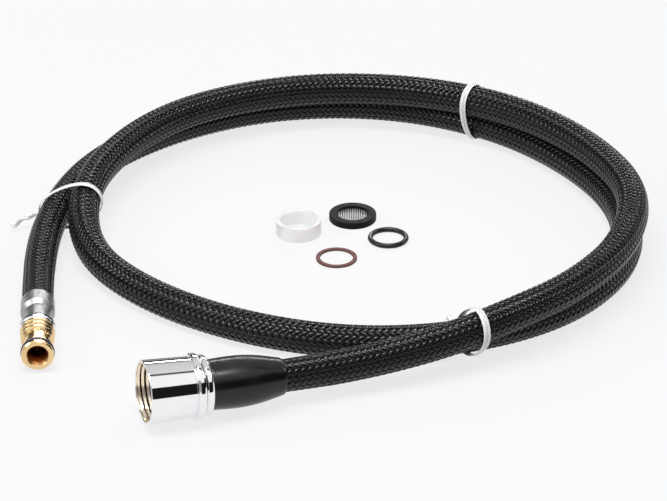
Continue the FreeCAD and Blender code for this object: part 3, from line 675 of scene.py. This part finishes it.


# the warp's thin wires lie close and bend round the weft's thick ones, which are nearly straight and catch the light.
# The warp wires are coloured near black, painted shade between the bright weft wires
screenSet = {"reach": 6.9 * mm, "warpApart": 0.46 * mm, "weftApart": 0.92 * mm, "warpWire": 0.20 * mm,
             "weftWire": 0.46 * mm, "warpBend": 0.20 * mm, "weftBend": 0.02 * mm}
screenCentre = washerCentre + np.array([0, 0, 1.55 * mm])
warp = screenWires(screenCentre, screenSet["reach"], screenSet["warpApart"], screenSet["weftApart"],
                   screenSet["warpWire"], screenSet["warpBend"], 0)
weft = screenWires(screenCentre, screenSet["reach"], screenSet["weftApart"], screenSet["warpApart"],
                   screenSet["weftWire"], screenSet["weftBend"], 1)
screenPiece = gridPiece("screenWarp", warp, "screenShade", "filter")
gridPiece("screenWeft", weft, "screenSteel", "filter")
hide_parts("filter_screen")
spareRing = torus("spareRing", 7.2, 1.05, (np.array([0.0237, 0.0187, 1.05 * mm]), upright), "ringRubber",
                  "spare_ring")
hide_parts("spare_o_ring")
fibre = lathe("fibreWasher", roundOutline([
    (6.6, 0.0, 0.12), (8.2, 0.0, 0.12), (8.2, 0.9, 0.15), (6.6, 0.9, 0.15),
]), (np.array([0.0029, 0.0025, 0]), upright), "redFibre", "fibre")
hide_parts("fibre_washer")
print("loose seals made")

# ---- finishes for the CAD nodes that stay: the seal, stem, slip washer and ferrule inside the nut end
for node, finish in {"nut_seal": "sealRubber", "coupling_stem": "turnedBrass", "slip_washer": "clearNylon",
                     "crimp_ferrule": "crimpSteel"}.items():
    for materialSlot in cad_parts[node].material_slots:
        materialSlot.material = materials[finish]

# ---- floor, light and surroundings
floorMesh = bpy.data.meshes.new("floor")
floorReach = 30.0
floorCorners = [(x * floorReach, y * floorReach, 0) for x, y in ((-1, -1), (1, -1), (1, 1), (-1, 1))]
floorMesh.from_pydata(floorCorners, [], [(0, 1, 2, 3)])
floorMesh.materials.append(materials["floorPaper"])
floor = bpy.data.objects.new("floor", floorMesh)
scene.collection.objects.link(floor)

lightSet = {
    "overhead": {"at": (-0.1, -0.25, 1.3), "size": (1.0, 0.14), "power": 14.0},
    "behind": {"at": (0.2, 1.5, 0.75), "size": (1.6, 0.10), "power": 8.0},
    "left": {"at": (-1.3, -0.5, 0.9), "size": (0.25, 0.6), "power": 6.0},
    "right": {"at": (1.4, 0.3, 0.8), "size": (0.15, 0.6), "power": 3.0},
}
for name, light in lightSet.items():
    lamp = bpy.data.lights.new(name, "AREA")
    lamp.shape = "RECTANGLE"
    lamp.size, lamp.size_y = light["size"]
    lamp.energy = light["power"]
    lampObject = bpy.data.objects.new(name, lamp)
    lampObject.location = light["at"]
    aim = unit(np.array(light["at"]))
    lampObject.rotation_euler = (np.arccos(aim[2]), 0, np.arctan2(aim[1], aim[0]) + pi / 2)
    scene.collection.objects.link(lampObject)

world = bpy.data.worlds.new("studio")
scene.world = world
world.use_nodes = True
tree = world.node_tree
backdrop = tree.nodes["Background"]
way = tree.nodes.new("ShaderNodeTexCoord").outputs["Generated"]
split = addNode(tree, "ShaderNodeSeparateXYZ", None, {"Vector": way})
front = addNode(tree, "ShaderNodeMath", {"operation": "MULTIPLY", 1: -1.0}, {0: split.outputs["Y"]})
lift = addNode(tree, "ShaderNodeMath", {"operation": "ARCTAN2"}, {0: split.outputs["Z"], 1: front.outputs[0]})
share = addNode(tree, "ShaderNodeMath", {"operation": "DIVIDE", 1: pi}, {0: lift.outputs[0]})
# over from the front horizon at 0, past straight up at a half, to the back horizon at 1
ramp = addNode(tree, "ShaderNodeValToRGB", None, {"Fac": share.outputs[0]})
for position, value in ((0.0, 0.9), (0.03, 0.30), (0.22, 0.34), (0.25, 1.0), (0.50, 1.0), (0.52, 0.08), (0.54, 0.08),
                        (0.56, 0.75), (0.78, 0.66), (0.84, 0.10), (0.97, 0.10)):
    stop = ramp.color_ramp.elements.new(position)
    stop.color = (value, value, value, 1)
ramp.color_ramp.elements.remove(ramp.color_ramp.elements[0])
ramp.color_ramp.elements[-1].color = (0.9, 0.9, 0.9, 1)
# a dark card stands to the right in front, above the floor's edge
cardWay = addNode(tree, "ShaderNodeVectorMath", {"operation": "DOT_PRODUCT", 1: (0.72, -0.69, 0.0)}, {0: way})
within = addNode(tree, "ShaderNodeMath", {"operation": "GREATER_THAN", 1: 0.50}, {0: cardWay.outputs["Value"]})
above = addNode(tree, "ShaderNodeMath", {"operation": "GREATER_THAN", 1: 0.0}, {0: split.outputs["Z"]})
below = addNode(tree, "ShaderNodeMath", {"operation": "LESS_THAN", 1: 0.60}, {0: split.outputs["Z"]})
band = addNode(tree, "ShaderNodeMath", {"operation": "MULTIPLY"}, {0: above.outputs[0], 1: below.outputs[0]})
card = addNode(tree, "ShaderNodeMath", {"operation": "MULTIPLY"}, {0: band.outputs[0], 1: within.outputs[0]})
sky = addNode(tree, "ShaderNodeMix", {"data_type": "RGBA"}, {0: card.outputs[0], 6: ramp.outputs["Color"]})
sky.inputs[7].default_value = (0.01, 0.01, 0.01, 1)
# the camera itself sees only a plain pale backdrop
seen = tree.nodes.new("ShaderNodeLightPath").outputs["Is Camera Ray"]
plain = addNode(tree, "ShaderNodeMix", {"data_type": "RGBA"}, {0: seen, 6: sky.outputs[2]})
plain.inputs[7].default_value = (0.93, 0.93, 0.93, 1)
tree.links.new(plain.outputs[2], backdrop.inputs["Color"])
backdrop.inputs["Strength"].default_value = 1.0
print("studio lit")
